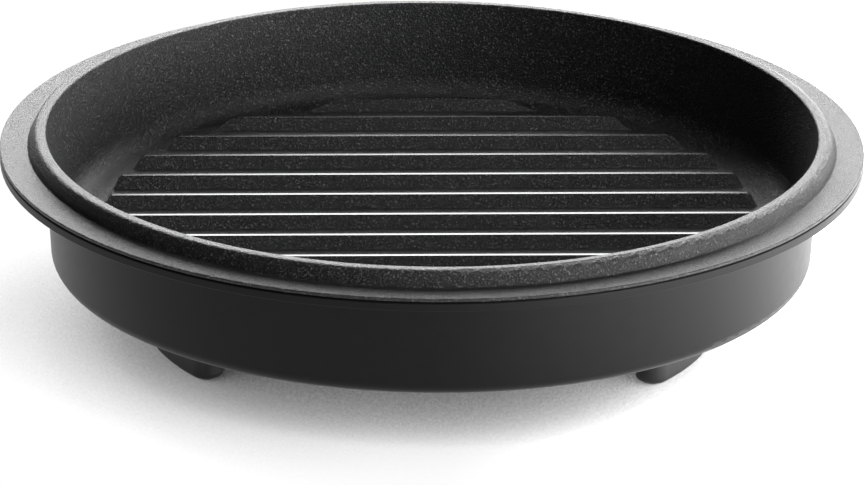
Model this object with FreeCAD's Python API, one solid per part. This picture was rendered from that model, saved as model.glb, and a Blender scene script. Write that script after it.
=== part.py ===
"""Round electric griddle: a cast, ribbed griddle pan that lifts out of a heated base.

Units are millimetres. +Z is up, +X is right and the ribs run along X. The origin is on the
table, under the middle of the griddle. The power inlet is at the rear, on +Y.
"""
import math
import os

import FreeCAD
import Part

V = FreeCAD.Vector
UP = V(0, 0, 1)

# ---------------------------------------------------------------- driving dimensions
# overall
flange_radius = 156.0          # outer edge of the pan's flange and of the base's rim
foot_height = 19.6             # table to the underside of the bottom plate
plate_drop = 5.8               # how far the bottom plate hangs below the base housing
housing_height = 41.8          # base housing, from its underside to its rim

# griddle pan
pan_flange_thickness = 1.4
lip_height = 5.5               # the lip that locates a lid, above the flange
lip_mouth_radius = 139.4       # inner edge of the lip
lip_thickness = 4.0
lip_foot_spread = 2.6          # the lip's outer face leans out this far at the flange
pan_floor_depth = 28.3         # flange top down to the cooking floor
pan_floor_thickness = 3.6
pan_wall_foot_radius = 131.3   # inner wall where it meets the floor fillet
pan_inner_fillet = 8.0
pan_outer_rounding = 7.0       # outside, where the wall turns into the underside
pan_extra_draft = 0.8          # the pan's wall leans this much more than the housing's
pan_root_fillet = 1.4          # wall to the underside of the flange
flange_lower_rounding = 0.6
flange_upper_rounding = 0.4
lip_foot_fillet = 0.7
lip_outer_rounding = 2.3
lip_inner_rounding = 0.9
pan_clearance = 0.35           # pan wall to the inside of the housing
pan_turn_deg = 2.27            # the loose pan sits turned by this much in the base

# ribs
rib_count = 12
rib_pitch = 20.8
rib_height = 4.4
rib_crest_width = 2.2
rib_slope_run = 3.0            # each flank's width in plan
rib_crest_rounding = 0.8
rib_foot_fillet = 1.4
rib_field_radius = 117.2       # the crests end on this circle
rib_end_run = 1.5              # the rib ends slope out by this much
rib_end_rounding = 1.5

# base housing
housing_wall = 0.8
housing_wall_radius = 140.0    # outside of the side wall, under the rim
housing_draft = 2.3            # the wall is this much narrower at its foot
housing_corner = 4.5
housing_bottom_hole = 116.0
rim_hem_height = 3.3
rim_bend = 0.9
mouth_bend = 1.8
under_rim_bend = 1.0
hem_fold = 0.3

# bottom plate
plate_thickness = 1.0
plate_floor_radius = 110.0
plate_slope_run = 4.0
plate_slope_offset = 0.6       # the slope's upper face lies this much further in
plate_outer_bend = 1.5
plate_inner_bend = 1.0
plate_screw_length = 5.0
plate_flange_radius = 127.0
plate_screw_circle = 121.0
plate_screw_count = 6
vent_count = 24
vent_inner_radius = 62.0
vent_length = 16.0
vent_width = 3.0
vent_free_half_deg = 40.0      # no vents this near the rear, over the inlet

# feet, four arc-shaped blocks
foot_outer_radius = 105.2
foot_radial_width = 12.4
foot_span_deg = 22.0
foot_end_round = 5.8
foot_screw_turn_deg = 5.94     # each foot's two screws, from the foot's middle
foot_screw_depth = 10.0
foot_from_front_deg = 61.0
foot_bottom_round = 2.5
pad_inset = 3.4
pad_corner = 2.3
pad_thickness = 2.5
pad_stand_proud = 0.6

# heating element and its supports
element_radius = 3.25
element_gap = 0.35             # element to the pan's underside
element_outer_ring = 96.0
element_inner_ring = 58.0
element_end_bend = 12.0
element_lead_a_deg = 82.0
element_lead_b_deg = 62.0
element_u_turn_deg = 112.0
element_end_radius = 46.0      # the sheath ends this far from the centre
bead_length = 5.0
bead_radius = 2.6
cold_pin_radius = 1.2
cold_pin_length = 6.0
support_angles_deg = (180.0, 270.0, 0.0)
support_thickness = 1.2
support_clearance = 0.1
support_foot_width = 12.0
support_foot_half_length = 8.0
support_inner_reach = 9.0      # the strip runs this far inside the inner ring
support_outer_reach = 6.0
support_screw_radius_at = 77.0
support_screw_end_drop = 1.5   # its screws end this far under the plate
spacer_radius = 4.0

# reflector
reflector_thickness = 0.5
reflector_gap = 4.0            # its height over the bottom plate
reflector_radius = 104.0
reflector_rim_height = 4.0
reflector_rim_lean = 2.0
reflector_bend = 1.0
reflector_centre_hole = 22.0
lead_hole_radius = 2.75

# pan sensor and thermostat
sensor_radius = 9.0
sensor_wall = 0.8
sensor_top = 1.0
sensor_edge_rounding = 0.6
sensor_travel = 2.0
sensor_stop_slack = 0.5
sensor_slide_clearance = 0.2
hook_height = 1.0
hook_reach = 0.7
collar_height = 2.0
thermostat_base_height = 2.0
thermostat_ear_half_length = 19.0
thermostat_ear_half_width = 5.0
thermostat_screw_reach = 14.85
thermostat_screw_end_drop = 2.0
tab_block_half_width = 7.5
tab_block_root = 4.0
tab_block_end = 13.0
tab_block_cap_gap = 0.6        # tab block to the outside of the sensor cap
tab_block_cover = 0.9          # tab block above the middle of the tabs
thermostat_tab_half_width = 2.4
thermostat_tab_spread = 4.5
thermostat_tab_tip = 19.0
blade_half_thickness = 0.4     # thermostat and inlet tabs
thermostat_top_gap = 3.9       # thermostat top to the inside of the sensor cap
disc_radius = 4.5
disc_thickness = 0.3
push_pin_radius = 1.2
push_pin_clearance = 0.05
push_pin_depth = 4.5           # length of pin inside the thermostat
push_pin_slack = 0.5           # hollow left under the pin
spring_mean_radius = 5.5
spring_wire_radius = 0.35
spring_turns = 5
spring_pocket_slack = 0.3
spring_pocket_floor = 1.0      # over the thermostat's base

# inlet
inlet_box_half_width = 25.0
inlet_box_front = 80.0
inlet_box_rear = 130.0
inlet_box_floor = 1.8
inlet_box_wall = 1.8
inlet_box_corner = 4.0
inlet_step_gap = 2.0           # plate floor's edge to the step in the box's roof
inlet_ear_reach = 5.0          # box side to the screw in its ear
inlet_ear_from_front = 9.0
inlet_ear_half_width = 4.5
inlet_ear_thickness = 2.5
inlet_box_screw_end = 1.6      # the box's screws end this far over the plate
inlet_cavity_half_width = 12.0
inlet_cavity_height = 16.0
inlet_wall = 1.3
inlet_window_gap = 0.15
inlet_cavity_chamfer = 4.0
inlet_body_front = 112.5
inlet_cavity_floor = 116.5
inlet_flange_thickness = 2.4
inlet_flange_side_inset = 0.5
inlet_flange_end_inset = 0.4
inlet_flange_corner = 3.0
inlet_pin_length = 13.5
inlet_pin_width = 2.0
inlet_pin_height = 4.0
inlet_pin_spread = 7.0
inlet_pin_offset = 2.0         # outer pins below the middle, the earth pin above it
inlet_pin_tip_rounding = 0.6
inlet_tab_length = 7.0
inlet_tab_margin = 1.0         # each tab is this much taller than its pin, above and below
inlet_screw_spread = 20.0
inlet_screw_length = 7.0

# fasteners and wire
screw_radius = 1.6
screw_head_radius = 3.0
screw_head_height = 1.9
screw_hole_clearance = 0.2
thread_clearance = 0.04
drive_recess_radius = 1.3
drive_recess_depth = 1.0
wire_radius = 1.1
wire_bend = 4.0
grommet_radius = 8.0
grommet_lip = 1.4
grommet_wall = 1.6
grommet_upper_height = 0.8
grommet_lower_height = 1.5
grommet_from_middle = 93.0
lead_over_grommet = 0.3
lead_spread_in_grommet = 4.6
lead_turn_outside = 2.6        # from the inlet's tabs to the leads' first bend
lead_turn_at_grommet = 5.6     # from the grommet's middle to the leads' second bend
element_lead_bend = 3.4
live_lead_rear_run = 14.0      # behind the fuse
fused_lead_run = 20.0          # from the rise at the element to the fuse
neutral_lead_side = 12.0
neutral_lead_rear = 78.0
neutral_lead_front = 42.0
neutral_lead_run = 9.0
switched_lead_run = 6.0
fuse_radius = 1.6
fuse_length = 12.0
terminal_radius = 4.2
terminal_barrel_length = 5.0
terminal_thickness = 0.8
terminal_barrel_half_width = 1.3
terminal_barrel_gap = 0.4      # screw head to the barrel
earth_from_middle = 66.0
earth_screw_end_drop = 2.0

# ---------------------------------------------------------------- derived levels
housing_bottom = foot_height + plate_drop
rim_top = housing_bottom + housing_height
flange_top = rim_top + pan_flange_thickness
lip_top = flange_top + lip_height
pan_floor = flange_top - pan_floor_depth
pan_underside = pan_floor - pan_floor_thickness
rib_crest = pan_floor + rib_height
plate_top = foot_height + plate_thickness
element_level = pan_underside - element_gap - element_radius
reflector_bottom = plate_top + reflector_gap
reflector_top = reflector_bottom + reflector_thickness
housing_inner_radius = housing_wall_radius - housing_wall
inlet_middle = 0.5 * (inlet_box_floor + housing_bottom - plate_thickness)
grommet_top = plate_top + grommet_upper_height
lead_level = grommet_top + lead_over_grommet + wire_radius
element_tip_radius = element_end_radius - bead_length - cold_pin_length


# ---------------------------------------------------------------- shape helpers
def polar(radius, angle_deg, z=0.0):
    """The point at a radius and an angle from +X, at height z."""
    a = math.radians(angle_deg)
    return V(radius * math.cos(a), radius * math.sin(a), z)


def cylinder(radius, z0, z1, x=0.0, y=0.0):
    return Part.makeCylinder(radius, z1 - z0, V(x, y, z0), UP)


def block(x0, x1, y0, y1, z0, z1):
    return Part.makeBox(x1 - x0, y1 - y0, z1 - z0, V(x0, y0, z0))


def profile_face(corners, rounding):
    """A flat face from its corners; rounding maps a corner's index to its arc's radius."""
    arcs, starts, ends = {}, [], []
    count = len(corners)
    for i, here in enumerate(corners):
        first = last = here
        if rounding.get(i):
            back = (corners[i - 1] - here).normalize()
            ahead = (corners[(i + 1) % count] - here).normalize()
            half = 0.5 * back.getAngle(ahead)
            cut = rounding[i] / math.tan(half)
            bisector = (back + ahead).normalize()
            centre = here + bisector * (rounding[i] / math.sin(half))
            first = here + back * cut
            last = here + ahead * cut
            arcs[i] = Part.Arc(first, centre - bisector * rounding[i], last).toShape()
        ends.append(first)
        starts.append(last)
    chain = []
    for i in range(count):
        if i in arcs:
            chain.append(arcs[i])
        a, b = starts[i], ends[(i + 1) % count]
        if (a - b).Length > 1e-7:
            chain.append(Part.LineSegment(a, b).toShape())
    return Part.Face(Part.Wire(chain))


def revolve(points, rounding=None):
    """A solid of revolution about Z from (radius, z) corners, rounded as profile_face."""
    corners = [V(r, 0, z) for r, z in points]
    return profile_face(corners, rounding or {}).revolve(V(0, 0, 0), UP, 360)


def rounded_route(points, bend):
    """A wire of straight runs joined by tangent arcs of one bend radius."""
    edges = []
    at = points[0]
    for before, here, after in zip(points, points[1:], points[2:]):
        back = (before - here).normalize()
        ahead = (after - here).normalize()
        half = 0.5 * back.getAngle(ahead)
        cut = bend / math.tan(half)
        bisector = (back + ahead).normalize()
        centre = here + bisector * (bend / math.sin(half))
        first = here + back * cut
        edges.append(Part.LineSegment(at, first).toShape())
        at = here + ahead * cut
        edges.append(Part.Arc(first, centre - bisector * bend, at).toShape())
    edges.append(Part.LineSegment(at, points[-1]).toShape())
    return Part.Wire(edges)


def tube_along(route, radius):
    """A round bar swept along a wire that starts along its first edge."""
    first = route.OrderedEdges[0]
    start = first.valueAt(first.FirstParameter)
    direction = first.tangentAt(first.FirstParameter)
    section = Part.Wire(Part.Circle(start, direction, radius).toShape())
    return route.makePipeShell([section], True, False)


def group(solids):
    return Part.makeCompound(solids)


def save(name, shape):
    """Writes one node. Boolean results hold one solid each, and groups hold several."""
    solids = shape.Solids
    if not solids or any(not s.isValid() for s in solids):
        raise ValueError(name + " has no solid, or one that isn't valid")
    out = solids[0] if len(solids) == 1 else Part.makeCompound(solids)
    out.exportStep("parts/" + name + ".step")


def screw(x, y, head_base, shank_end):
    """A pan-head screw along Z: its head stands past head_base, away from shank_end."""
    out = 1.0 if head_base > shank_end else -1.0
    head_far = head_base + out * screw_head_height
    head = cylinder(screw_head_radius, min(head_base, head_far), max(head_base, head_far), x, y)
    rim = head.Edges[0] if abs(head.Edges[0].BoundBox.ZMin - head_far) < 1e-6 else head.Edges[2]
    head = head.makeFillet(0.45 * screw_head_height, [rim])
    shank = cylinder(screw_radius, min(head_base, shank_end), max(head_base, shank_end), x, y)
    recess_z = head_far - out * drive_recess_depth
    recess = cylinder(drive_recess_radius, min(recess_z, head_far), max(recess_z, head_far), x, y)
    return head.fuse(shank).cut(recess)


def screw_hole(x, y, z0, z1):
    return cylinder(screw_radius + screw_hole_clearance, z0, z1, x, y)


def tapped_hole(x, y, z0, z1):
    return cylinder(screw_radius + thread_clearance, z0, z1, x, y)


# ---------------------------------------------------------------- griddle pan
def rib_bar(y):
    """One straight rib, longer than the pan: sloping flanks, rounded crest and foot fillets."""
    half_crest = 0.5 * rib_crest_width
    half_base = half_crest + rib_slope_run
    half_root = half_base + rib_foot_fillet
    root = pan_floor - 0.5 * pan_floor_thickness
    outline = [
        (-half_root, root),
        (-half_root, pan_floor),
        (-half_base, pan_floor),
        (-half_crest, rib_crest),
        (half_crest, rib_crest),
        (half_base, pan_floor),
        (half_root, pan_floor),
        (half_root, root),
    ]
    rounding = {2: rib_foot_fillet, 3: rib_crest_rounding}
    rounding.update({4: rib_crest_rounding, 5: rib_foot_fillet})
    corners = [V(-flange_radius, y + across, z) for across, z in outline]
    return profile_face(corners, rounding).extrude(V(2 * flange_radius, 0, 0))


def rib_field():
    """The round block that cuts the ribs' ends: steep sides, rounded over at the crests."""
    root = pan_floor - 0.5 * pan_floor_thickness
    foot_radius = rib_field_radius + rib_end_run
    root_radius = foot_radius + rib_foot_fillet
    return revolve(
        [
            (0, root),
            (root_radius, root),
            (root_radius, pan_floor),
            (foot_radius, pan_floor),
            (rib_field_radius, rib_crest),
            (0, rib_crest),
        ],
        {3: rib_foot_fillet, 4: rib_end_rounding},
    )


def make_griddle_pan():
    """The cast pan: floor, leaning wall, flange that rests on the base, lip and ribs."""
    wall_radius = housing_inner_radius - pan_clearance
    wall_foot = wall_radius - housing_draft - pan_extra_draft
    lip_outer = lip_mouth_radius + lip_thickness
    bowl = revolve(
        [
            (0, pan_underside),
            (wall_foot, pan_underside),
            (wall_radius, rim_top),
            (flange_radius, rim_top),
            (flange_radius, flange_top),
            (lip_outer + lip_foot_spread, flange_top),
            (lip_outer, lip_top),
            (lip_mouth_radius, lip_top),
            (pan_wall_foot_radius, pan_floor),
            (0, pan_floor),
        ],
        {
            1: pan_outer_rounding,
            2: pan_root_fillet,
            3: flange_lower_rounding,
            4: flange_upper_rounding,
            5: lip_foot_fillet,
            6: lip_outer_rounding,
            7: lip_inner_rounding,
            8: pan_inner_fillet,
        },
    )
    first = -0.5 * (rib_count - 1) * rib_pitch
    field = rib_field()
    ribs = [rib_bar(first + i * rib_pitch).common(field) for i in range(rib_count)]
    pan = bowl.multiFuse(ribs).removeSplitter()
    pan.rotate(V(0, 0, 0), UP, pan_turn_deg)
    save("griddle_pan", pan)


# ---------------------------------------------------------------- base shells
def make_base_housing():
    """Drawn shell: hemmed rim, straight wall with a little draft, and an inward foot."""
    foot_radius = housing_wall_radius - housing_draft
    hem_foot = rim_top - rim_hem_height
    outer = [
        (housing_bottom_hole, housing_bottom),
        (foot_radius, housing_bottom),
        (housing_wall_radius, rim_top - housing_wall),
        (flange_radius - housing_wall, rim_top - housing_wall),
        (flange_radius - housing_wall, hem_foot),
        (flange_radius, hem_foot),
        (flange_radius, rim_top),
        (housing_inner_radius, rim_top),
        (foot_radius - housing_wall, housing_bottom + housing_wall),
        (housing_bottom_hole, housing_bottom + housing_wall),
    ]
    rounding = {
        1: housing_corner,
        2: under_rim_bend,
        4: hem_fold,
        5: hem_fold,
        6: rim_bend,
        7: mouth_bend,
        8: housing_corner - housing_wall,
    }
    shell = revolve(outer, rounding)
    for i in range(plate_screw_count):
        p = polar(plate_screw_circle, 360.0 * i / plate_screw_count)
        shell = shell.cut(tapped_hole(p.x, p.y, housing_bottom - 1, housing_bottom + 2))
    save("base_housing", shell)


def foot_centres_deg():
    """Angles from +X of the four feet: two each side of the front and of the rear."""
    a = foot_from_front_deg
    return {
        "front_left": -90 - a,
        "front_right": -90 + a,
        "rear_right": 90 - a,
        "rear_left": 90 + a,
    }


def foot_screw_spots():
    middle = foot_outer_radius - 0.5 * foot_radial_width
    spots = []
    for centre in foot_centres_deg().values():
        for side in (-1, 1):
            spots.append(polar(middle, centre + side * foot_screw_turn_deg))
    return spots


def support_screw_spots():
    offset = 0.5 * (support_thickness + support_foot_width)
    spots = []
    for angle in support_angles_deg:
        along = polar(support_screw_radius_at, angle)
        across = polar(offset, angle + 90)
        spots.append(along + across)
    return spots


def thermostat_screw_spots():
    return [V(side * thermostat_screw_reach, 0, 0) for side in (-1, 1)]


def inlet_box_screw_spots():
    across = inlet_box_half_width + inlet_ear_reach
    along = inlet_box_front + inlet_ear_from_front
    return [V(side * across, along, 0) for side in (-1, 1)]


def earth_spot():
    return V(0, earth_from_middle, 0)


def grommet_spot():
    return V(0, grommet_from_middle, 0)


def make_base_plate():
    """Pressed dish that closes the base from below, with vent slots round its floor."""
    slope_top = housing_bottom - plate_thickness
    dish = revolve(
        [
            (0, foot_height),
            (plate_floor_radius, foot_height),
            (plate_floor_radius + plate_slope_run, slope_top),
            (plate_flange_radius, slope_top),
            (plate_flange_radius, housing_bottom),
            (plate_floor_radius + plate_slope_run - plate_slope_offset, housing_bottom),
            (plate_floor_radius - plate_slope_offset, plate_top),
            (0, plate_top),
        ],
        {1: plate_outer_bend, 2: plate_inner_bend, 5: plate_outer_bend, 6: plate_inner_bend},
    )
    cuts = []
    below, above = foot_height - 1, housing_bottom + 1
    for i in range(plate_screw_count):
        p = polar(plate_screw_circle, 360.0 * i / plate_screw_count)
        cuts.append(screw_hole(p.x, p.y, below, above))
    spots = foot_screw_spots() + support_screw_spots() + thermostat_screw_spots()
    spots += inlet_box_screw_spots() + [earth_spot()]
    for p in spots:
        cuts.append(tapped_hole(p.x, p.y, below, above))
    hole = grommet_spot()
    cuts.append(cylinder(grommet_radius, below, above, hole.x, hole.y))
    for i in range(vent_count):
        angle = 360.0 * (i + 0.5) / vent_count
        if abs(angle - 90.0) < vent_free_half_deg:
            continue
        slot = block(0, vent_length, -0.5 * vent_width, 0.5 * vent_width, below, above)
        slot.rotate(V(0, 0, 0), UP, angle)
        slot.translate(polar(vent_inner_radius - vent_length, angle))
        cuts.append(slot)
    save("base_plate", dish.cut(cuts))
    heads = []
    for i in range(plate_screw_count):
        p = polar(plate_screw_circle, 360.0 * i / plate_screw_count)
        heads.append(screw(p.x, p.y, slope_top, slope_top + plate_screw_length))
    save("base_plate_screws", group(heads))


# ---------------------------------------------------------------- feet
def arc_block(outer, width, span_deg, z0, z1, end_round):
    """A block that follows a circle, centred on +X, with rounded vertical corners."""
    inner = outer - width
    ring = cylinder(outer, z0, z1).cut(cylinder(inner, z0, z1))
    half = math.radians(0.5 * span_deg)
    reach = 2 * outer
    tip = V(reach, reach * math.tan(half), z0)
    mirror = V(reach, -reach * math.tan(half), z0)
    wedge = Part.Face(Part.makePolygon([V(0, 0, z0), mirror, tip, V(0, 0, z0)]))
    piece = ring.common(wedge.extrude(V(0, 0, z1 - z0)))
    uprights = [e for e in piece.Edges if e.BoundBox.ZLength > 0.9 * (z1 - z0)]
    return piece.makeFillet(end_round, uprights)


def make_feet():
    """Four moulded arc-shaped feet, each with a soft pad let into its underside."""
    pad_outer = foot_outer_radius - pad_inset
    pad_width = foot_radial_width - 2 * pad_inset
    pad_span = foot_span_deg - 2 * math.degrees(pad_inset / foot_outer_radius)
    bottom = pad_stand_proud
    foot = arc_block(
        foot_outer_radius, foot_radial_width, foot_span_deg, bottom, foot_height, foot_end_round
    )
    low_edges = [e for e in foot.Edges if abs(e.BoundBox.ZMax - bottom) < 1e-4]
    foot = foot.makeFillet(foot_bottom_round, low_edges)
    recess = arc_block(pad_outer, pad_width, pad_span, bottom - 1.0, pad_thickness, pad_corner)
    foot = foot.cut(recess)
    pad = arc_block(pad_outer, pad_width, pad_span, 0.0, pad_thickness, pad_corner)
    middle = foot_outer_radius - 0.5 * foot_radial_width
    screw_end = foot_height - foot_screw_depth
    for side in (-1, 1):
        p = polar(middle, side * foot_screw_turn_deg)
        foot = foot.cut(tapped_hole(p.x, p.y, screw_end, foot_height + 1))
    for name, angle in foot_centres_deg().items():
        this_foot, this_pad = foot.copy(), pad.copy()
        this_foot.rotate(V(0, 0, 0), UP, angle)
        this_pad.rotate(V(0, 0, 0), UP, angle)
        save(name + "_foot", this_foot)
        save(name + "_foot_pad", this_pad)
    screws = [screw(p.x, p.y, plate_top, screw_end) for p in foot_screw_spots()]
    save("foot_screws", group(screws))


# ---------------------------------------------------------------- heating element
def arc_edge(radius, a0, a1, z, centre=V(0, 0, 0)):
    middle = 0.5 * (a0 + a1)
    points = [centre + polar(radius, a) for a in (a0, middle, a1)]
    return Part.Arc(*[V(p.x, p.y, z) for p in points]).toShape()


def make_heating_element():
    """Sheathed element: an outer and an inner ring joined by a U-turn, both ends inward."""
    z = element_level
    bend = element_end_bend
    outer, inner = element_outer_ring, element_inner_ring
    lean_a = math.degrees(math.asin(bend / (outer - bend)))
    lean_b = math.degrees(math.asin(bend / (inner - bend)))
    end_a, end_b = element_lead_a_deg, element_lead_b_deg
    turn = element_u_turn_deg - 360.0
    centre_a = polar(outer - bend, end_a - lean_a)
    centre_b = polar(inner - bend, end_b - lean_b)
    straight_a = (outer - bend) * math.cos(math.radians(lean_a))
    straight_b = (inner - bend) * math.cos(math.radians(lean_b))
    turn_middle = polar(0.5 * (outer + inner), turn)
    tip_a, tip_b = polar(element_end_radius, end_a, z), polar(element_end_radius, end_b, z)
    edges = [
        Part.LineSegment(tip_a, polar(straight_a, end_a, z)).toShape(),
        arc_edge(bend, end_a + 90, end_a - lean_a, z, centre_a),
        arc_edge(outer, end_a - lean_a, turn, z),
        arc_edge(0.5 * (outer - inner), turn, turn - 180, z, turn_middle),
        arc_edge(inner, turn, end_b - lean_b, z),
        arc_edge(bend, end_b - lean_b, end_b + 90, z, centre_b),
        Part.LineSegment(polar(straight_b, end_b, z), tip_b).toShape(),
    ]
    save("heating_element", tube_along(Part.Wire(edges), element_radius))
    beads, pins = [], []
    for angle in (end_a, end_b):
        inward = polar(1.0, angle + 180)
        start = polar(element_end_radius, angle, z)
        beads.append(Part.makeCylinder(bead_radius, bead_length, start, inward))
        pin_start = start + inward * bead_length
        pins.append(Part.makeCylinder(cold_pin_radius, cold_pin_length, pin_start, inward))
    save("element_end_beads", group(beads))
    save("element_cold_pins", group(pins))


def make_element_supports():
    """Three notched upright strips that carry both rings, each screwed through its foot."""
    seat = element_radius + support_clearance
    names = {180.0: "left", 270.0: "front", 0.0: "right"}
    half = 0.5 * support_thickness
    start = element_inner_ring - support_inner_reach
    end = element_outer_ring + support_outer_reach
    foot_z = reflector_top + support_thickness
    for angle in support_angles_deg:
        strip = block(start, end, -half, half, reflector_top, element_level)
        foot_x = support_screw_radius_at
        foot_front = foot_x - support_foot_half_length
        foot_rear = foot_x + support_foot_half_length
        foot_side = half + support_foot_width
        foot = block(foot_front, foot_rear, half, foot_side, reflector_top, foot_z)
        strip = strip.fuse(foot)
        for ring in (element_inner_ring, element_outer_ring):
            notch_start = V(ring, -support_thickness, element_level)
            notch = Part.makeCylinder(seat, 2 * support_thickness, notch_start, V(0, 1, 0))
            strip = strip.cut(notch)
        screw_y = half + 0.5 * support_foot_width
        strip = strip.cut(screw_hole(foot_x, screw_y, reflector_top - 1, foot_z + 1))
        strip.rotate(V(0, 0, 0), UP, angle)
        save("element_support_" + names[angle], strip)
    spots = support_screw_spots()
    screw_end = foot_height - support_screw_end_drop
    screws = [screw(p.x, p.y, foot_z, screw_end) for p in spots]
    save("support_screws", group(screws))
    spacers = []
    for p in spots:
        bush = cylinder(spacer_radius, plate_top, reflector_bottom, p.x, p.y)
        spacers.append(bush.cut(screw_hole(p.x, p.y, plate_top - 1, reflector_bottom + 1)))
    save("reflector_spacers", group(spacers))


def lead_drop_spots():
    """Where the two leads to the element come up through the reflector."""
    reach = element_tip_radius - wire_bend
    return [polar(reach, a) for a in (element_lead_a_deg, element_lead_b_deg)]


def make_reflector():
    """Thin bright dish under the element, with an upturned rim."""
    t = reflector_thickness
    rim_radius = reflector_radius + reflector_rim_lean
    rim_height = reflector_bottom + reflector_rim_height
    dish = revolve(
        [
            (reflector_centre_hole, reflector_bottom),
            (reflector_radius, reflector_bottom),
            (rim_radius, rim_height),
            (rim_radius - t, rim_height),
            (reflector_radius - t, reflector_top),
            (reflector_centre_hole, reflector_top),
        ],
        {1: reflector_bend, 4: reflector_bend - t},
    )
    below, above = reflector_bottom - 1, reflector_top + 1
    for p in support_screw_spots():
        dish = dish.cut(screw_hole(p.x, p.y, below, above))
    for p in lead_drop_spots():
        dish = dish.cut(cylinder(lead_hole_radius, below, above, p.x, p.y))
    save("reflector", dish)


# ---------------------------------------------------------------- sensor and thermostat
def make_sensor():
    """Spring-loaded cap that touches the pan's underside and works the thermostat below."""
    cap_inner = sensor_radius - sensor_wall
    cap_roof = pan_underside - sensor_top
    body_top = cap_roof - thermostat_top_gap
    collar_radius = cap_inner - sensor_slide_clearance
    collar_foot = body_top - collar_height
    hook_top = collar_foot - sensor_travel - sensor_stop_slack
    hook_foot = hook_top - hook_height
    hook_radius = cap_inner - hook_reach
    waist_radius = hook_radius - sensor_slide_clearance
    cap = revolve(
        [
            (0, cap_roof),
            (cap_inner, cap_roof),
            (cap_inner, hook_top),
            (hook_radius, hook_top),
            (hook_radius, hook_foot),
            (sensor_radius, hook_foot),
            (sensor_radius, pan_underside),
            (0, pan_underside),
        ],
        {6: sensor_edge_rounding},
    )
    save("sensor_cap", cap)
    save("bimetal_disc", cylinder(disc_radius, cap_roof - disc_thickness, cap_roof))
    pin_top = cap_roof - disc_thickness
    pin_foot = body_top - push_pin_depth
    save("push_pin", cylinder(push_pin_radius, pin_foot, pin_top))

    base_top = plate_top + thermostat_base_height
    pocket_floor = base_top + spring_pocket_floor
    slack = spring_wire_radius + spring_pocket_slack
    bore = push_pin_radius + push_pin_clearance
    bore_foot = pin_foot - push_pin_slack
    body = revolve(
        [
            (bore, bore_foot),
            (bore, body_top),
            (spring_mean_radius - slack, body_top),
            (spring_mean_radius - slack, pocket_floor),
            (spring_mean_radius + slack, pocket_floor),
            (spring_mean_radius + slack, body_top),
            (collar_radius, body_top),
            (collar_radius, collar_foot),
            (waist_radius, collar_foot),
            (waist_radius, plate_top),
            (0, plate_top),
            (0, bore_foot),
        ]
    )
    ear, ear_side = thermostat_ear_half_length, thermostat_ear_half_width
    ears = block(-ear, ear, -ear_side, ear_side, plate_top, base_top)
    side_x, rear_y = tab_block_half_width, tab_block_end
    tab_root = block(-side_x, side_x, tab_block_root, rear_y, plate_top, base_top)
    cover_y = sensor_radius + tab_block_cap_gap
    cover_top = lead_level + tab_block_cover
    tab_block = block(-side_x, side_x, cover_y, rear_y, plate_top, cover_top)
    body = body.fuse([ears, tab_root, tab_block]).removeSplitter()
    for p in thermostat_screw_spots():
        body = body.cut(screw_hole(p.x, p.y, plate_top - 1, base_top + 1))
    save("thermostat_body", body)
    tabs = []
    for side in (-1, 1):
        x0 = side * thermostat_tab_spread - thermostat_tab_half_width
        x1 = x0 + 2 * thermostat_tab_half_width
        z0 = lead_level - blade_half_thickness
        z1 = lead_level + blade_half_thickness
        tabs.append(block(x0, x1, rear_y, thermostat_tab_tip, z0, z1))
    save("thermostat_tabs", group(tabs))
    screw_end = foot_height - thermostat_screw_end_drop
    screws = [screw(p.x, p.y, base_top, screw_end) for p in thermostat_screw_spots()]
    save("thermostat_screws", group(screws))

    low = pocket_floor + spring_wire_radius
    high = cap_roof - spring_wire_radius
    pitch = (high - low) / spring_turns
    helix = Part.makeLongHelix(pitch, high - low, spring_mean_radius)
    helix.translate(V(0, 0, low))
    start = V(spring_mean_radius, 0, low)
    slope = V(0, 2 * math.pi * spring_mean_radius, pitch)
    section = Part.Wire(Part.Circle(start, slope, spring_wire_radius).toShape())
    save("sensor_spring", Part.Wire(helix).makePipeShell([section], True, True))


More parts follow.
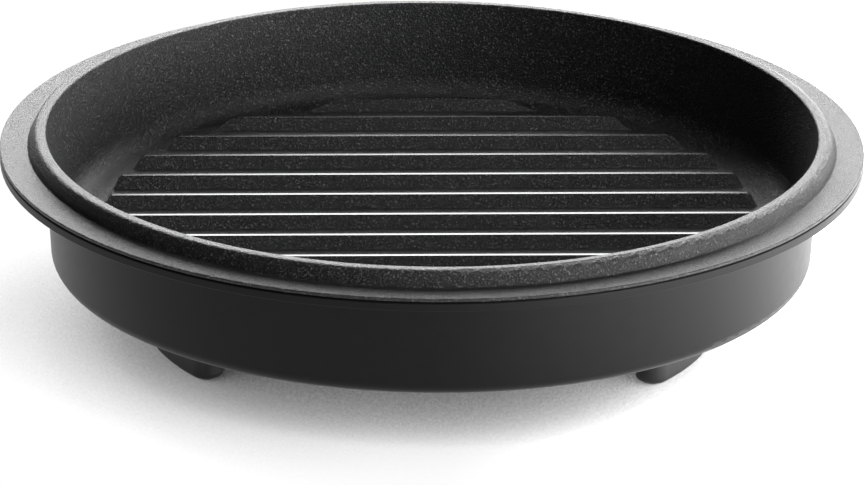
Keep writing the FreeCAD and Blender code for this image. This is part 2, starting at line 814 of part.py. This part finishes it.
# ---------------------------------------------------------------- inlet
def make_inlet():
    """Rear power inlet: a moulded box under the plate, the socket and its three pins."""
    half = inlet_box_half_width
    wall = inlet_box_wall
    roof_low = foot_height
    roof_high = housing_bottom - plate_thickness
    step_y = plate_floor_radius + inlet_step_gap
    shell = block(-half, half, inlet_box_front, inlet_box_rear, inlet_box_floor, roof_low)
    shell = shell.fuse(block(-half, half, step_y, inlet_box_rear, inlet_box_floor, roof_high))
    hollow = block(
        -half + wall,
        half - wall,
        inlet_box_front + wall,
        inlet_box_rear - wall,
        inlet_box_floor + wall,
        roof_high + 1,
    )
    shell = shell.removeSplitter()
    outside_corners = [
        e
        for e in shell.Edges
        if e.BoundBox.ZLength > 5.0 and e.BoundBox.YMin < inlet_box_front + 0.1
    ]
    shell = shell.makeFillet(inlet_box_corner, outside_corners).cut(hollow)
    ear_low = roof_low - inlet_ear_thickness
    for p in inlet_box_screw_spots():
        root_x = math.copysign(half - 1, p.x)
        tip_x = p.x + math.copysign(inlet_ear_half_width, p.x)
        ear_front, ear_rear = p.y - inlet_ear_half_width, p.y + inlet_ear_half_width
        left_x, right_x = min(root_x, tip_x), max(root_x, tip_x)
        ear = block(left_x, right_x, ear_front, ear_rear, ear_low, roof_low).cut(hollow)
        shell = shell.fuse(ear).cut(screw_hole(p.x, p.y, ear_low - 1, roof_low + 1))
    body_half_x = inlet_cavity_half_width + inlet_wall
    body_half_z = 0.5 * inlet_cavity_height + inlet_wall
    window_x = body_half_x + inlet_window_gap
    window_z = body_half_z + inlet_window_gap
    window = block(
        -window_x,
        window_x,
        inlet_box_rear - 3 * wall,
        inlet_box_rear + 1,
        inlet_middle - window_z,
        inlet_middle + window_z,
    )
    shell = shell.cut(window)
    for side in (-1, 1):
        hole = Part.makeCylinder(
            screw_radius + thread_clearance,
            3 * wall,
            V(side * inlet_screw_spread, inlet_box_rear + 1, inlet_middle),
            V(0, -1, 0),
        )
        shell = shell.cut(hole)
    save("inlet_housing", shell)
    screw_end = plate_top + inlet_box_screw_end
    screws = [screw(p.x, p.y, ear_low, screw_end) for p in inlet_box_screw_spots()]
    save("inlet_housing_screws", group(screws))

    face = inlet_box_rear + inlet_flange_thickness
    half_z = 0.5 * inlet_cavity_height
    flange_half_x = half - inlet_flange_side_inset
    flange_half_z = 0.5 * (roof_high - inlet_box_floor) - inlet_flange_end_inset
    flange_low, flange_high = inlet_middle - flange_half_z, inlet_middle + flange_half_z
    plate = block(-flange_half_x, flange_half_x, inlet_box_rear, face, flange_low, flange_high)
    long_edges = [e for e in plate.Edges if e.BoundBox.YLength > 1.0]
    plate = plate.makeFillet(inlet_flange_corner, long_edges)
    body = block(
        -body_half_x,
        body_half_x,
        inlet_body_front,
        inlet_box_rear,
        inlet_middle - body_half_z,
        inlet_middle + body_half_z,
    )
    cavity = block(
        -inlet_cavity_half_width,
        inlet_cavity_half_width,
        inlet_cavity_floor,
        face + 1,
        inlet_middle - half_z,
        inlet_middle + half_z,
    )
    top_corners = [
        e
        for e in cavity.Edges
        if e.BoundBox.YLength > 5.0 and e.BoundBox.ZMin > inlet_middle
    ]
    cavity = cavity.makeChamfer(inlet_cavity_chamfer, top_corners)
    socket = plate.fuse(body).removeSplitter().cut(cavity)
    pins = []
    spots = (
        (-inlet_pin_spread, -inlet_pin_offset),
        (0.0, inlet_pin_offset),
        (inlet_pin_spread, -inlet_pin_offset),
    )
    for x, z in spots:
        z0 = inlet_middle + z - 0.5 * inlet_pin_height
        z1 = z0 + inlet_pin_height
        x0 = x - 0.5 * inlet_pin_width
        x1 = x0 + inlet_pin_width
        blade_end = inlet_cavity_floor + inlet_pin_length
        pin = block(x0, x1, inlet_body_front, blade_end, z0, z1)
        socket = socket.cut(pin)
        tip = [e for e in pin.Edges if e.BoundBox.YMin > blade_end - 0.01]
        pin = pin.makeFillet(inlet_pin_tip_rounding, tip)
        tab_x0, tab_x1 = x - blade_half_thickness, x + blade_half_thickness
        tab_z0, tab_z1 = z0 - inlet_tab_margin, z1 + inlet_tab_margin
        tab_y = inlet_body_front - inlet_tab_length
        tab = block(tab_x0, tab_x1, tab_y, inlet_body_front, tab_z0, tab_z1)
        pins.append(pin.fuse(tab).removeSplitter())
    for side in (-1, 1):
        hole = Part.makeCylinder(
            screw_radius + screw_hole_clearance,
            3 * wall,
            V(side * inlet_screw_spread, face + 1, inlet_middle),
            V(0, -1, 0),
        )
        socket = socket.cut(hole)
    save("inlet_socket", socket)
    save("inlet_pins", group(pins))
    fixing = []
    for side in (-1, 1):
        upright = screw(0, 0, 0, -inlet_screw_length)
        upright.rotate(V(0, 0, 0), V(1, 0, 0), -90)
        upright.translate(V(side * inlet_screw_spread, face, inlet_middle))
        fixing.append(upright)
    save("inlet_socket_screws", group(fixing))


# ---------------------------------------------------------------- wiring
def make_grommet():
    """Rubber ring that lines the hole where the leads pass up through the plate."""
    low = foot_height - grommet_lower_height
    ring = revolve(
        [
            (grommet_radius - grommet_wall, low),
            (grommet_radius + grommet_lip, low),
            (grommet_radius + grommet_lip, foot_height),
            (grommet_radius, foot_height),
            (grommet_radius, plate_top),
            (grommet_radius + grommet_lip, plate_top),
            (grommet_radius + grommet_lip, grommet_top),
            (grommet_radius - grommet_wall, grommet_top),
        ]
    )
    ring.translate(grommet_spot())
    save("wire_grommet", ring)


def save_lead(name, points, bend=wire_bend):
    save(name, tube_along(rounded_route(points, bend), wire_radius))


def make_wiring():
    """Insulated leads from the inlet's tabs to the fuse, thermostat, element and earth."""
    tab_front = inlet_body_front - inlet_tab_length
    hole_y = grommet_spot().y
    low = inlet_middle - inlet_pin_offset
    high = inlet_middle + inlet_pin_offset
    drop_a, drop_b = lead_drop_spots()
    fuse_x = drop_b.x
    fuse_front = drop_b.y + fused_lead_run
    fuse_rear = fuse_front + fuse_length
    fuse_start = V(fuse_x, fuse_front, lead_level)
    save("thermal_fuse", Part.makeCylinder(fuse_radius, fuse_length, fuse_start, V(0, 1, 0)))

    def from_tab(side):
        spread = side * lead_spread_in_grommet
        tab_x = side * inlet_pin_spread
        return [
            V(tab_x, tab_front, low),
            V(tab_x, tab_front - lead_turn_outside, low),
            V(spread, hole_y + lead_turn_at_grommet, low),
            V(spread, hole_y, low),
            V(spread, hole_y, lead_level),
        ]

    rear_of_fuse = V(fuse_x, fuse_rear + live_lead_rear_run, lead_level)
    save_lead("live_lead", from_tab(1) + [rear_of_fuse, V(fuse_x, fuse_rear, lead_level)])
    fused = [
        V(fuse_x, fuse_front, lead_level),
        V(drop_b.x, drop_b.y, lead_level),
        V(drop_b.x, drop_b.y, element_level),
        polar(element_tip_radius, element_lead_b_deg, element_level),
    ]
    save_lead("fused_lead", fused, element_lead_bend)
    tab_y = thermostat_tab_tip
    neutral = from_tab(-1) + [
        V(-neutral_lead_side, neutral_lead_rear, lead_level),
        V(-neutral_lead_side, neutral_lead_front, lead_level),
        V(-thermostat_tab_spread, tab_y + neutral_lead_run, lead_level),
        V(-thermostat_tab_spread, tab_y, lead_level),
    ]
    save_lead("neutral_lead", neutral)
    switched = [
        V(thermostat_tab_spread, tab_y, lead_level),
        V(thermostat_tab_spread, tab_y + switched_lead_run, lead_level),
        V(drop_a.x, drop_a.y, lead_level),
        V(drop_a.x, drop_a.y, element_level),
        polar(element_tip_radius, element_lead_a_deg, element_level),
    ]
    save_lead("switched_lead", switched, element_lead_bend)

    spot = earth_spot()
    barrel_front = spot.y + screw_head_radius + terminal_barrel_gap
    barrel_rear = barrel_front + terminal_barrel_length
    earth = [
        V(0, tab_front, high),
        V(0, hole_y, high),
        V(0, hole_y, lead_level),
        V(0, barrel_rear, lead_level),
    ]
    save_lead("earth_lead", earth)
    ring_top = plate_top + terminal_thickness
    ring = cylinder(terminal_radius, plate_top, ring_top, spot.x, spot.y)
    barrel_top = lead_level + wire_radius
    half = terminal_barrel_half_width
    barrel = block(-half, half, barrel_front, barrel_rear, plate_top, barrel_top)
    ring = ring.fuse(barrel).removeSplitter()
    ring = ring.cut(screw_hole(spot.x, spot.y, plate_top - 1, ring_top + 1))
    save("earth_terminal", ring)
    screw_end = foot_height - earth_screw_end_drop
    save("earth_screw", screw(spot.x, spot.y, ring_top, screw_end))


def main():
    os.makedirs("parts", exist_ok=True)
    make_griddle_pan()
    make_base_housing()
    make_base_plate()
    make_feet()
    make_heating_element()
    make_element_supports()
    make_reflector()
    make_sensor()
    make_inlet()
    make_grommet()
    make_wiring()


main()
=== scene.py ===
import math

import bpy
from mathutils import Matrix, Vector


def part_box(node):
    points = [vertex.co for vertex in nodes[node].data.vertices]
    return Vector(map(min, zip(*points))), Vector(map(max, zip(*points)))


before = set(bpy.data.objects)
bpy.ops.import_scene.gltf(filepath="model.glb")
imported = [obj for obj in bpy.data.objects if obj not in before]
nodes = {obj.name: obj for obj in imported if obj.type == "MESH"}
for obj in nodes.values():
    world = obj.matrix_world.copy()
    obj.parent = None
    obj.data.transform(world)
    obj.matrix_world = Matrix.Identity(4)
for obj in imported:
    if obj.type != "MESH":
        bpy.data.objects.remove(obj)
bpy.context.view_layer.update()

# ---- Camera -------------------------------------------------------------------------
# A long lens about 2.3 m away, looking down at the griddle from the front by 21 degrees.
# It aims past the middle of the flange's top face and is rolled by half a degree.
pan_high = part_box("griddle_pan")[1]
lip_height = 0.0055
flange_top = pan_high.z - lip_height
view_down = math.radians(20.891)
camera_roll = math.radians(0.588)
camera_distance = 2.3152
aim_right, aim_up = 0.00052, -0.0365
lens_length = 266.58
film_width = 36.0
view_depth = 50.0

look = Vector((0, math.cos(view_down), -math.sin(view_down)))
up = Vector((0, math.sin(view_down), math.cos(view_down)))
right = Vector((1, 0, 0))
rolled_right = right * math.cos(camera_roll) + up * math.sin(camera_roll)
rolled_up = up * math.cos(camera_roll) - right * math.sin(camera_roll)
camera = bpy.data.objects.new("camera", bpy.data.cameras.new("camera"))
camera.data.lens = lens_length
camera.data.sensor_width = film_width
camera.data.clip_end = view_depth
turned = Matrix((rolled_right, rolled_up, -look)).transposed().to_4x4()
flange_middle = Vector((0, 0, flange_top))
stand = flange_middle - look * camera_distance + right * aim_right + up * aim_up
camera.matrix_world = Matrix.Translation(stand) @ turned
bpy.context.scene.collection.objects.link(camera)
bpy.context.scene.camera = camera

# ---- Floor and studio lights ----------------------------------------------------------
# A plain white light table: a glowing sheet with a painted shadow, darker where the griddle
# is near it and weaker to the right, and a painted pool of light that makes it glow brighter
# to the right. Soft panels stand behind it, high behind it, over it, low at its right and in front at its
# right.
floor_half = 6.0
contact_shade_reach = 0.16
contact_shade_rays = 4
shade_stops = ((0.06, 0.01), (0.15, 0.08), (0.19, 0.36), (0.24, 0.78), (0.30, 0.95), (0.40, 1.0))
shade_lift_per_metre = 0.6
glow_from_x, glow_to_x = 0.0, 0.35
glow_left, glow_right = 1.02, 5.5
room_light = 0.06

sheet_mesh = bpy.data.meshes.new("light_table")
sheet_corners = [(-1, -1), (1, -1), (1, 1), (-1, 1)]
sheet_points = [(x * floor_half, y * floor_half, 0) for x, y in sheet_corners]
sheet_mesh.from_pydata(sheet_points, [], [(0, 1, 2, 3)])
light_table = bpy.data.objects.new("light_table", sheet_mesh)
bpy.context.scene.collection.objects.link(light_table)

table_sheet = bpy.data.materials.new("light_table_sheet")
table_sheet.use_nodes = True
made = table_sheet.node_tree.nodes
link = table_sheet.node_tree.links
made.remove(made["Principled BSDF"])
# Painted shadow: the sheet's glow is darkened where the griddle is near it, less so further right.
painted_shadow_occlusion = made.new("ShaderNodeAmbientOcclusion")
painted_shadow_occlusion.samples = contact_shade_rays
painted_shadow_occlusion.inputs["Distance"].default_value = contact_shade_reach
painted_shadow_ramp = made.new("ShaderNodeValToRGB")
painted_shadow_ramp.color_ramp.interpolation = "LINEAR"
while len(painted_shadow_ramp.color_ramp.elements) < len(shade_stops):
    painted_shadow_ramp.color_ramp.elements.new(0.5)
for element, (at, level) in zip(painted_shadow_ramp.color_ramp.elements, shade_stops):
    element.position = at
    element.color = (level, level, level, 1)
where = made.new("ShaderNodeTexCoord")
table_spot = made.new("ShaderNodeSeparateXYZ")
link.new(where.outputs["Object"], table_spot.inputs["Vector"])
weaker_right = made.new("ShaderNodeMath")
weaker_right.operation = "MULTIPLY_ADD"
weaker_right.inputs[1].default_value = shade_lift_per_metre
link.new(table_spot.outputs["X"], weaker_right.inputs[0])
link.new(painted_shadow_occlusion.outputs["AO"], weaker_right.inputs[2])
link.new(weaker_right.outputs["Value"], painted_shadow_ramp.inputs["Fac"])
# Painted light: the sheet's glow grows brighter towards the right.
painted_light_right = made.new("ShaderNodeMapRange")
painted_light_right.interpolation_type = "SMOOTHSTEP"
painted_light_right.inputs["From Min"].default_value = glow_from_x
painted_light_right.inputs["From Max"].default_value = glow_to_x
painted_light_right.inputs["To Min"].default_value = glow_left
painted_light_right.inputs["To Max"].default_value = glow_right
link.new(table_spot.outputs["X"], painted_light_right.inputs["Value"])
glow = made.new("ShaderNodeEmission")
link.new(painted_light_right.outputs["Result"], glow.inputs["Strength"])
link.new(painted_shadow_ramp.outputs["Color"], glow.inputs["Color"])
link.new(glow.outputs["Emission"], made["Material Output"].inputs["Surface"])
light_table.data.materials.append(table_sheet)

world = bpy.data.worlds.new("studio")
world.use_nodes = True
room = world.node_tree.nodes["Background"]
room.inputs["Color"].default_value = (1, 1, 1, 1)
room.inputs["Strength"].default_value = room_light
bpy.context.scene.world = world
bpy.context.scene.view_settings.view_transform = "Standard"


def soft_panel(name, at, towards, width, height, radiance):
    """A rectangular soft light that faces a point; its power follows from its brightness."""
    panel = bpy.data.objects.new(name, bpy.data.lights.new(name, "AREA"))
    panel.data.shape = "RECTANGLE"
    panel.data.size = width
    panel.data.size_y = height
    panel.data.energy = radiance * math.pi * width * height
    panel.location = at
    facing = Vector(towards) - Vector(at)
    panel.rotation_euler = facing.to_track_quat("-Z", "Y").to_euler()
    bpy.context.scene.collection.objects.link(panel)


table_middle = (0, 0, 0)
wall_middle = (0, 0, 0.05)
soft_panel("panel_behind", (0.3, 2.8, 1.1), table_middle, 3.4, 1.3, 9.5)
soft_panel("panel_high_behind", (0.3, 2.0, 1.75), table_middle, 1.8, 0.8, 7.0)
soft_panel("panel_over", (1.0, -0.45, 2.1), table_middle, 1.0, 1.0, 7.0)
soft_panel("panel_right_low", (2.0, 0.1, 0.2), wall_middle, 2.4, 0.36, 13.0)
soft_panel("panel_key", (1.5, -1.35, 0.5), wall_middle, 0.7, 0.9, 9.0)

# ---- Feet and pads --------------------------------------------------------------------
# Four arc-shaped blocks moulded in black plastic, each held by two screws from inside the
# bottom plate. A soft silicone pad is glued into each underside.
patch_in_grains = 25.0
patch_share = 0.45


def node_links(material):
    tree = material.node_tree
    return tree.nodes, tree.links, tree.nodes["Principled BSDF"]


def textured(name, dark, light, grain, roughness, bump=0.0, metallic=0.0, stretch=(1, 1, 1)):
    """A solid material whose colour and roughness vary with a fine grain and broad patches.

    grain is the grain's width in metres, roughness a (least, most) pair, bump its height in
    metres, and stretch makes the grain longer along an axis where it is under 1.
    """
    material = bpy.data.materials.new(name)
    material.use_nodes = True
    made, link, shader = node_links(material)
    where = made.new("ShaderNodeTexCoord")
    mapping = made.new("ShaderNodeMapping")
    mapping.inputs["Scale"].default_value = stretch
    link.new(where.outputs["Object"], mapping.inputs["Vector"])
    fine = made.new("ShaderNodeTexNoise")
    fine.inputs["Scale"].default_value = 1.0 / grain
    fine.inputs["Detail"].default_value = 4.0
    link.new(mapping.outputs["Vector"], fine.inputs["Vector"])
    broad = made.new("ShaderNodeTexNoise")
    broad.inputs["Scale"].default_value = 1.0 / (patch_in_grains * grain)
    broad.inputs["Detail"].default_value = 3.0
    link.new(mapping.outputs["Vector"], broad.inputs["Vector"])
    both = made.new("ShaderNodeMix")
    both.data_type = "FLOAT"
    both.inputs["Factor"].default_value = patch_share
    link.new(fine.outputs["Fac"], both.inputs["A"])
    link.new(broad.outputs["Fac"], both.inputs["B"])
    tint = made.new("ShaderNodeValToRGB")
    tint.color_ramp.elements[0].position = 0.35
    tint.color_ramp.elements[0].color = (*dark, 1)
    tint.color_ramp.elements[1].position = 0.65
    tint.color_ramp.elements[1].color = (*light, 1)
    link.new(both.outputs["Result"], tint.inputs["Fac"])
    link.new(tint.outputs["Color"], shader.inputs["Base Color"])
    spread = made.new("ShaderNodeMapRange")
    spread.inputs["From Min"].default_value = 0.3
    spread.inputs["From Max"].default_value = 0.7
    spread.inputs["To Min"].default_value = roughness[0]
    spread.inputs["To Max"].default_value = roughness[1]
    link.new(both.outputs["Result"], spread.inputs["Value"])
    link.new(spread.outputs["Result"], shader.inputs["Roughness"])
    shader.inputs["Metallic"].default_value = metallic
    if bump:
        relief = made.new("ShaderNodeBump")
        relief.inputs["Strength"].default_value = 1.0
        relief.inputs["Distance"].default_value = bump
        link.new(fine.outputs["Fac"], relief.inputs["Height"])
        link.new(relief.outputs["Normal"], shader.inputs["Normal"])
    return material


def coat(material, *names):
    """Puts a material on CAD nodes."""
    for name in names:
        nodes[name].data.materials.clear()
        nodes[name].data.materials.append(material)


corners = ("front_left", "front_right", "rear_left", "rear_right")
foot_plastic = textured(
    "moulded_foot_plastic", (0.006, 0.006, 0.0065), (0.010, 0.010, 0.011), 0.0007, (0.42, 0.55), 0.00002
)
coat(foot_plastic, *(c + "_foot" for c in corners))
pad_silicone = textured(
    "pad_silicone", (0.030, 0.030, 0.031), (0.045, 0.045, 0.046), 0.0012, (0.7, 0.85), 0.00003
)
coat(pad_silicone, *(c + "_foot_pad" for c in corners))

# ---- Bottom plate and its screws --------------------------------------------------------
# A pressed steel dish that closes the base, painted matt dark grey, with vent slots.
# Zinc-plated pan-head screws hold it to the housing and hold the feet to it.
plate_paint = textured(
    "matt_plate_paint", (0.022, 0.022, 0.023), (0.032, 0.032, 0.033), 0.0016, (0.5, 0.68), 0.00003
)
coat(plate_paint, "base_plate")
zinc = textured("zinc_plate", (0.50, 0.50, 0.48), (0.68, 0.67, 0.63), 0.0008, (0.26, 0.42), 0.000008, 1.0)
coat(
    zinc,
    "base_plate_screws",
    "foot_screws",
    "support_screws",
    "thermostat_screws",
    "inlet_housing_screws",
    "inlet_socket_screws",
    "earth_screw",
)

# ---- Power inlet ------------------------------------------------------------------------
# A moulded box screwed under the plate at the rear, with a standard three-pin socket in its
# outer wall. The pins are nickel-plated brass blades moulded into the socket.
inlet_plastic = textured(
    "inlet_plastic", (0.010, 0.010, 0.011), (0.016, 0.016, 0.017), 0.0009, (0.38, 0.5), 0.000025
)
coat(inlet_plastic, "inlet_housing")
socket_plastic = textured(
    "socket_plastic", (0.012, 0.012, 0.012), (0.018, 0.018, 0.018), 0.0006, (0.3, 0.42), 0.00001
)
coat(socket_plastic, "inlet_socket")
plated_brass = textured(
    "plated_brass", (0.62, 0.56, 0.44), (0.78, 0.72, 0.58), 0.0007, (0.2, 0.34), 0.000005, 1.0, (1, 0.2, 1)
)
coat(plated_brass, "inlet_pins", "thermostat_tabs", "earth_terminal")

# ---- Leads, grommet and fuse --------------------------------------------------------------
# Silicone-covered copper leads run from the inlet's tabs through a rubber grommet in the
# plate. The live one passes the thermal fuse, and the earth one ends in a crimped ring.
grommet_rubber = textured(
    "grommet_rubber", (0.018, 0.018, 0.018), (0.03, 0.03, 0.03), 0.0008, (0.6, 0.75), 0.00002
)
coat(grommet_rubber, "wire_grommet")
coat(
    textured("live_sleeve", (0.16, 0.06, 0.03), (0.24, 0.10, 0.05), 0.0009, (0.45, 0.6), 0.00001),
    "live_lead",
)
coat(
    textured("neutral_sleeve", (0.03, 0.09, 0.32), (0.05, 0.14, 0.45), 0.0009, (0.45, 0.6), 0.00001),
    "neutral_lead",
)
glass_sleeve = textured(
    "braided_glass_sleeve", (0.55, 0.53, 0.48), (0.86, 0.84, 0.79), 0.0005, (0.75, 0.9), 0.00012
)
coat(glass_sleeve, "fused_lead", "switched_lead")
coat(
    textured("fuse_case", (0.50, 0.47, 0.40), (0.66, 0.62, 0.54), 0.0008, (0.25, 0.4), 0.00001, 1.0),
    "thermal_fuse",
)
earth_sleeve = textured(
    "earth_sleeve", (0.10, 0.32, 0.04), (0.62, 0.60, 0.05), 0.0022, (0.45, 0.6), 0.00001
)
coat(earth_sleeve, "earth_lead")

# ---- Reflector ----------------------------------------------------------------------------
# A thin bright dish under the element, pressed from rolled sheet and held off the plate by
# three short steel bushes. Notched steel brackets on it carry the element.
bright_sheet = textured(
    "bright_rolled_sheet",
    (0.62, 0.62, 0.61),
    (0.74, 0.74, 0.73),
    0.0012,
    (0.38, 0.46),
    0.000004,
    1.0,
    (1, 0.05, 1),
)
coat(bright_sheet, "reflector")
bracket_steel = textured(
    "bracket_steel", (0.40, 0.39, 0.37), (0.58, 0.57, 0.55), 0.0009, (0.28, 0.45), 0.00001, 1.0
)
coat(
    bracket_steel,
    "reflector_spacers",
    "element_support_left",
    "element_support_front",
    "element_support_right",
)

# ---- Heating element ------------------------------------------------------------------------
# A bent steel sheath packed with powder round the heating wire, browned by heat. Ceramic
# beads close its two ends round the cold pins.
browned_sheath = textured(
    "browned_sheath", (0.10, 0.075, 0.055), (0.24, 0.20, 0.17), 0.0035, (0.34, 0.55), 0.00002, 1.0
)
coat(browned_sheath, "heating_element")
glazed_bead = textured("glazed_bead", (0.70, 0.67, 0.60), (0.84, 0.82, 0.76), 0.0015, (0.18, 0.3), 0.000004)
coat(glazed_bead, "element_end_beads", "push_pin")
coat(
    textured("nickel_pin", (0.50, 0.48, 0.44), (0.66, 0.63, 0.58), 0.0008, (0.22, 0.36), 0.000005, 1.0),
    "element_cold_pins",
)

# ---- Thermostat and sensor --------------------------------------------------------------------
# A drawn aluminium cap, pressed up against the pan by a coil spring, holds a bimetal disc.
# The disc moves a ceramic pin down into the steatite thermostat body below.
steatite = textured("steatite", (0.56, 0.52, 0.44), (0.70, 0.66, 0.58), 0.0016, (0.55, 0.72), 0.00003)
coat(steatite, "thermostat_body")
drawn_cap = textured(
    "drawn_cap", (0.55, 0.55, 0.55), (0.72, 0.72, 0.72), 0.0008, (0.26, 0.4), 0.000008, 1.0, (1, 1, 0.15)
)
coat(drawn_cap, "sensor_cap")
coat(
    textured("bimetal", (0.42, 0.38, 0.30), (0.58, 0.53, 0.44), 0.001, (0.3, 0.45), 0.000005, 1.0),
    "bimetal_disc",
)
coat(
    textured("spring_wire", (0.36, 0.36, 0.36), (0.52, 0.52, 0.51), 0.0006, (0.22, 0.36), 0.000004, 1.0),
    "sensor_spring",
)

# ---- Base housing -------------------------------------------------------------------------------
# A steel shell drawn in one piece and hemmed round its rim, then enamelled a smooth satin
# black that takes a soft reflection.
satin_enamel = textured(
    "satin_black_enamel", (0.0045, 0.0045, 0.0048), (0.0065, 0.0065, 0.0069), 0.004, (0.36, 0.42), 0.00001
)
enamel_gloss = 0.15
enamel_shader = satin_enamel.node_tree.nodes["Principled BSDF"]
enamel_shader.inputs["Specular IOR Level"].default_value = enamel_gloss
coat(satin_enamel, "base_housing")

# ---- Griddle pan ----------------------------------------------------------------------------------
# Cast aluminium: a floor with twelve straight ribs, a leaning wall, a lid lip and a wide
# flange that rests on the base's rim. A sprayed non-stick coating gives it its black stipple,
# and use has rubbed the flat crests of the ribs smoother, so they shine.
stipple_size = 0.0007
stipple_detail, stipple_roughness = 3.0, 0.6
tint_stops = ((0.40, 0.003), (0.52, 0.010), (0.59, 0.038), (0.68, 0.14))
blue_share = 1.02
sheen_from, sheen_to = 0.40, 0.60
roughness_in_pits, roughness_on_grains = 0.46, 0.24
rubbed_roughness = 0.24
rubbed_height = 0.55
stipple_depth = 0.0005
coating_gloss = 0.34
crest_below_lip = 0.0294
rib_crest_z = pan_high.z - crest_below_lip
crest_reach = 0.00025
rib_end_radius = 0.1188

coating = bpy.data.materials.new("nonstick_coating")
coating.use_nodes = True
made, link, shader = node_links(coating)
where = made.new("ShaderNodeTexCoord")
stipple = made.new("ShaderNodeTexNoise")
stipple.inputs["Scale"].default_value = 1.0 / stipple_size
stipple.inputs["Detail"].default_value = stipple_detail
stipple.inputs["Roughness"].default_value = stipple_roughness
link.new(where.outputs["Object"], stipple.inputs["Vector"])
tint = made.new("ShaderNodeValToRGB")
while len(tint.color_ramp.elements) < len(tint_stops):
    tint.color_ramp.elements.new(0.5)
for element, (at, level) in zip(tint.color_ramp.elements, tint_stops):
    element.position = at
    element.color = (level, level, blue_share * level, 1)
link.new(stipple.outputs["Fac"], tint.inputs["Fac"])
link.new(tint.outputs["Color"], shader.inputs["Base Color"])
sheen = made.new("ShaderNodeMapRange")
sheen.inputs["From Min"].default_value = sheen_from
sheen.inputs["From Max"].default_value = sheen_to
sheen.inputs["To Min"].default_value = roughness_in_pits
sheen.inputs["To Max"].default_value = roughness_on_grains
link.new(stipple.outputs["Fac"], sheen.inputs["Value"])


def joined_by(operation, first, second):
    """A maths node of the coating that takes two values, each a socket or a number."""
    step = made.new("ShaderNodeMath")
    step.operation = operation
    for socket, value in zip(step.inputs, (first, second)):
        if isinstance(value, float):
            socket.default_value = value
        else:
            link.new(value, socket)
    return step.outputs["Value"]


spot = made.new("ShaderNodeSeparateXYZ")
link.new(where.outputs["Object"], spot.inputs["Vector"])
flat_spot = made.new("ShaderNodeCombineXYZ")
link.new(spot.outputs["X"], flat_spot.inputs["X"])
link.new(spot.outputs["Y"], flat_spot.inputs["Y"])
from_axis = made.new("ShaderNodeVectorMath")
from_axis.operation = "LENGTH"
link.new(flat_spot.outputs["Vector"], from_axis.inputs[0])
above = joined_by("GREATER_THAN", spot.outputs["Z"], rib_crest_z - crest_reach)
below = joined_by("LESS_THAN", spot.outputs["Z"], rib_crest_z + crest_reach)
on_ribs = joined_by("LESS_THAN", from_axis.outputs["Value"], rib_end_radius)
rubbed = joined_by("MULTIPLY", joined_by("MULTIPLY", above, below), on_ribs)

gloss = made.new("ShaderNodeMix")
gloss.data_type = "FLOAT"
gloss.inputs["B"].default_value = rubbed_roughness
link.new(rubbed, gloss.inputs["Factor"])
link.new(sheen.outputs["Result"], gloss.inputs["A"])
link.new(gloss.outputs["Result"], shader.inputs["Roughness"])
height = made.new("ShaderNodeMix")
height.data_type = "FLOAT"
height.inputs["B"].default_value = rubbed_height
link.new(rubbed, height.inputs["Factor"])
link.new(stipple.outputs["Fac"], height.inputs["A"])
relief = made.new("ShaderNodeBump")
relief.inputs["Strength"].default_value = 1.0
relief.inputs["Distance"].default_value = stipple_depth
link.new(height.outputs["Result"], relief.inputs["Height"])
link.new(relief.outputs["Normal"], shader.inputs["Normal"])
shader.inputs["Specular IOR Level"].default_value = coating_gloss
coat(coating, "griddle_pan")
